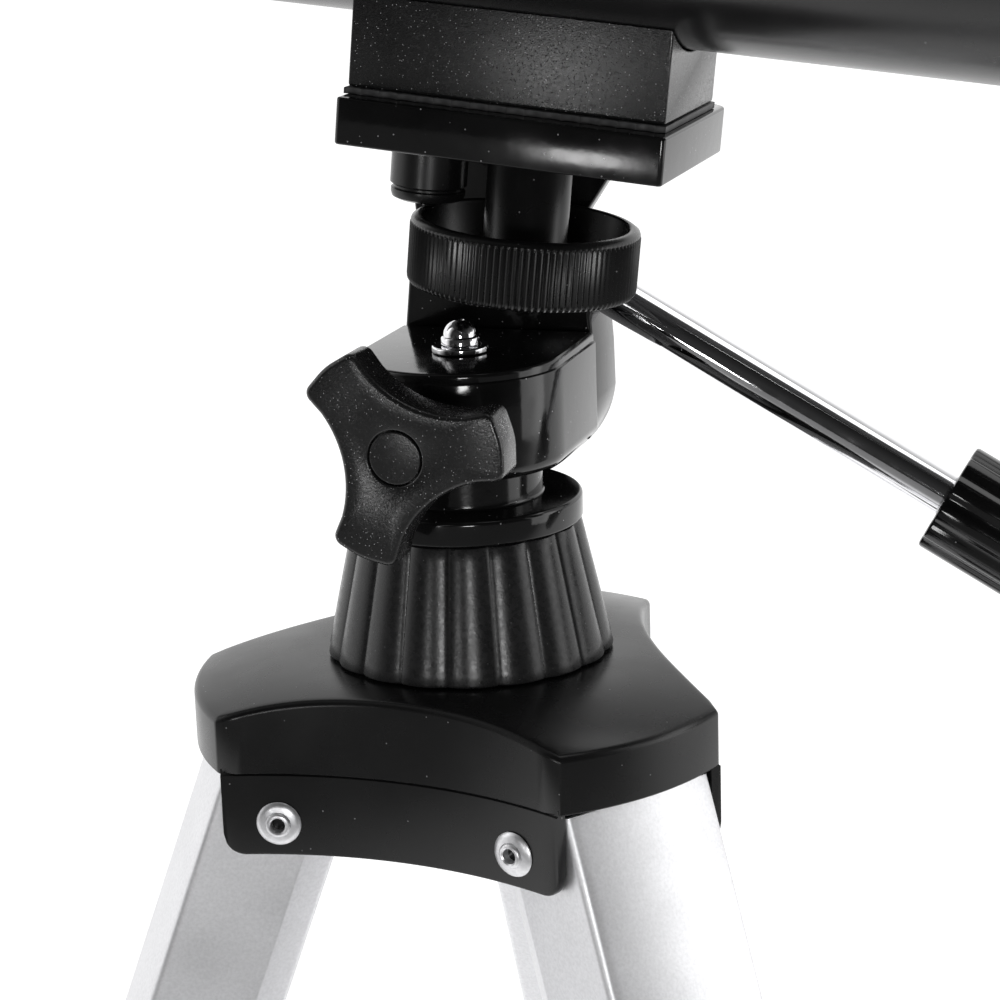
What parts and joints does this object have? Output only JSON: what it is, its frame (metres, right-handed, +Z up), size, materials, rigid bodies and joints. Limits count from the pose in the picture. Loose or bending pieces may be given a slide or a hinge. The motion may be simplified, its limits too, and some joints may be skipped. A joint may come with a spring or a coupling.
{
  "type": "telescope on tripod",
  "caption": "Small refracting telescope on a pan and tilt head with handle, short head post and folding three-legged aluminium tripod.",
  "frame": {"origin": "on the floor, under the middle of the object's box", "axes": "+Z up, +X from the objective towards the eyepiece, -Y the side of the lock knob"},
  "size_m": [0.7774, 0.6044, 1.1319],
  "materials": {
    "cast_gloss": "glossy black enamel on die-cast metal",
    "moulded_black": "satin black moulded plastic",
    "grained_black": "grained matt black plastic",
    "grip_gloss": "glossy black plastic",
    "tube_paint": "satin black paint",
    "blasted_aluminium": "bead-blasted and anodised",
    "chrome": "polished chrome plate",
    "rivet_steel": "bright zinc plate",
    "rubber": "matt black rubber",
    "lens_glass": "coated optical glass",
    "mirror": "front-silvered mirror"
  },
  "bodies": {
    "tripod": {"shoulder": "moulded_black", "column_guide": "blasted_aluminium", "leg_rivet_a": "rivet_steel", "leg_rivet_b": "rivet_steel", "leg_rivet_c": "rivet_steel"},
    "collar": {"column_collar": "moulded_black"},
    "column": {"head_base": "cast_gloss", "centre_column": "blasted_aluminium", "column_end_cap": "rubber", "pan_bolt": "chrome", "pan_washer": "chrome"},
    "pan_head": {"pan_body": "cast_gloss"},
    "lock_knob": {"lock_knob": "grained_black", "lock_knob_cap": "grained_black"},
    "tilt_head": {"tilt_table": "cast_gloss", "locator_barrel": "moulded_black", "platform_pad": "rubber", "saddle_block": "grained_black", "handle_rod": "chrome", "handle_grip": "grip_gloss", "main_tube": "tube_paint", "lens_cell": "moulded_black", "objective_lens": "lens_glass", "lens_ring": "moulded_black", "dew_shield": "tube_paint", "focuser_housing": "moulded_black", "finder_bracket": "moulded_black", "finder_tube": "tube_paint", "finder_lens": "lens_glass"},
    "camera_screw": {"camera_screw_knob": "grained_black"},
    "drawtube": {"drawtube": "chrome"},
    "focus_knobs": {"focus_shaft": "rivet_steel", "focus_knob_near": "moulded_black", "focus_knob_far": "moulded_black"},
    "diagonal": {"diagonal_body": "moulded_black", "diagonal_mirror": "mirror"},
    "eyepiece": {"eyepiece": "moulded_black", "eye_lens": "lens_glass"},
    "brace_hub": {"brace_hub": "moulded_black"},
    "brace_arm_a": {"brace_arm_a": "moulded_black"},
    "brace_arm_b": {"brace_arm_b": "moulded_black"},
    "brace_arm_c": {"brace_arm_c": "moulded_black"},
    "leg_a": {"leg_upper_a": "blasted_aluminium", "leg_clamp_a": "moulded_black", "brace_clip_a": "moulded_black"},
    "leg_b": {"leg_upper_b": "blasted_aluminium", "leg_clamp_b": "moulded_black", "brace_clip_b": "moulded_black"},
    "leg_c": {"leg_upper_c": "blasted_aluminium", "leg_clamp_c": "moulded_black", "brace_clip_c": "moulded_black"},
    "lower_leg_a": {"leg_lower_a": "blasted_aluminium", "foot_a": "rubber"},
    "lower_leg_b": {"leg_lower_b": "blasted_aluminium", "foot_b": "rubber"},
    "lower_leg_c": {"leg_lower_c": "blasted_aluminium", "foot_c": "rubber"},
    "lever_a": {"clamp_lever_a": "moulded_black"},
    "lever_b": {"clamp_lever_b": "moulded_black"},
    "lever_c": {"clamp_lever_c": "moulded_black"}
  },
  "joints": [
    {"name": "collar_turn", "type": "hinge", "parent": "tripod", "child": "collar", "pos_m": [0.00241, -0.07529, 0.87835], "axis": [0, 0, 1], "range_deg": [-120, 0]},
    {"name": "column_slide", "type": "slide", "parent": "tripod", "child": "column", "axis": [0, 0, 1], "range_m": [0, 0.025]},
    {"name": "pan", "type": "hinge", "parent": "column", "child": "pan_head", "pos_m": [0.00241, -0.07529, 0.87835], "axis": [0, 0, 1], "continuous": true},
    {"name": "lock_knob_turn", "type": "hinge", "parent": "pan_head", "child": "lock_knob", "pos_m": [0.00241, -0.07529, 0.93536], "axis": [0, 1, 0], "range_deg": [-180, 30]},
    {"name": "tilt", "type": "hinge", "parent": "pan_head", "child": "tilt_head", "pos_m": [0.00241, -0.07529, 0.93536], "axis": [0, 1, 0], "range_deg": [-35, 33]},
    {"name": "camera_screw_turn", "type": "hinge", "parent": "tilt_head", "child": "camera_screw", "pos_m": [0.01619, -0.07049, 0.97508], "axis": [0.1106, 0, 0.9939], "continuous": true},
    {"name": "focus_slide", "type": "slide", "parent": "tilt_head", "child": "drawtube", "axis": [0.9939, 0, -0.1106], "range_m": [-0.016, 0.045]},
    {"name": "focus_turn", "type": "hinge", "parent": "tilt_head", "child": "focus_knobs", "pos_m": [0.28982, -0.07069, 0.99544], "axis": [0, 1, 0], "range_deg": [-180, 500]},
    {"name": "diagonal_turn", "type": "hinge", "parent": "drawtube", "child": "diagonal", "pos_m": [0.3669, -0.07069, 1.01], "axis": [0.9939, 0, -0.1106], "continuous": true},
    {"name": "eyepiece_slide", "type": "slide", "parent": "diagonal", "child": "eyepiece", "axis": [0.1106, 0, 0.9939], "range_m": [0, 0.016]},
    {"name": "leg_fold_a", "type": "hinge", "parent": "tripod", "child": "leg_a", "pos_m": [-0.03741, -0.09471, 0.85535], "axis": [0.4384, -0.8988, 0], "range_deg": [0, 20.3]},
    {"name": "leg_fold_b", "type": "hinge", "parent": "tripod", "child": "leg_b", "pos_m": [0.03913, -0.10006, 0.85535], "axis": [0.5592, 0.829, 0], "range_deg": [0, 20.3]},
    {"name": "leg_fold_c", "type": "hinge", "parent": "tripod", "child": "leg_c", "pos_m": [0.0055, -0.0311, 0.85535], "axis": [-0.9976, 0.0698, 0], "range_deg": [0, 20.3]},
    {"name": "brace_hub_slide", "type": "slide", "parent": "tripod", "child": "brace_hub", "axis": [0, 0, 1], "range_m": [0, 0.0247]},
    {"name": "brace_arm_turn_a", "type": "hinge", "parent": "brace_hub", "child": "brace_arm_a", "pos_m": [-0.01826, -0.08537, 0.70672], "axis": [0.4384, -0.8988, 0], "range_deg": [0, 41.6]},
    {"name": "brace_arm_turn_b", "type": "hinge", "parent": "brace_hub", "child": "brace_arm_b", "pos_m": [0.02148, -0.08815, 0.70672], "axis": [0.5592, 0.829, 0], "range_deg": [0, 41.6]},
    {"name": "brace_arm_turn_c", "type": "hinge", "parent": "brace_hub", "child": "brace_arm_c", "pos_m": [0.00401, -0.05235, 0.70672], "axis": [-0.9976, 0.0698, 0], "range_deg": [0, 41.6]},
    {"name": "lower_leg_slide_a", "type": "slide", "parent": "leg_a", "child": "lower_leg_a", "axis": [0.3118, 0.1521, 0.9379], "range_m": [0, 0.34]},
    {"name": "lower_leg_slide_b", "type": "slide", "parent": "leg_b", "child": "lower_leg_b", "axis": [-0.2876, 0.194, 0.9379], "range_m": [0, 0.34]},
    {"name": "lower_leg_slide_c", "type": "slide", "parent": "leg_c", "child": "lower_leg_c", "axis": [-0.0242, -0.3461, 0.9379], "range_m": [0, 0.34]},
    {"name": "lever_turn_a", "type": "hinge", "parent": "leg_a", "child": "lever_a", "pos_m": [-0.2085, -0.17815, 0.40332], "axis": [0.4384, -0.8988, 0], "range_deg": [0, 100]},
    {"name": "lever_turn_b", "type": "hinge", "parent": "leg_b", "child": "lever_b", "pos_m": [0.19694, -0.2065, 0.40332], "axis": [0.5592, 0.829, 0], "range_deg": [0, 100]},
    {"name": "lever_turn_c", "type": "hinge", "parent": "leg_c", "child": "lever_c", "pos_m": [0.01878, 0.15879, 0.40332], "axis": [-0.9976, 0.0698, 0], "range_deg": [0, 100]}
  ],
  "couplings": [
    {"joint": "focus_turn", "follows": "focus_slide", "rad_per_m": 192},
    {"joint": "leg_fold_b", "follows": "leg_fold_a", "ratio": 1},
    {"joint": "leg_fold_c", "follows": "leg_fold_a", "ratio": 1},
    {"joint": "brace_hub_slide", "follows": "leg_fold_a", "m_per_rad": 0.06958},
    {"joint": "brace_arm_turn_a", "follows": "leg_fold_a", "ratio": 2.046},
    {"joint": "brace_arm_turn_b", "follows": "leg_fold_a", "ratio": 2.046},
    {"joint": "brace_arm_turn_c", "follows": "leg_fold_a", "ratio": 2.046}
  ]
}
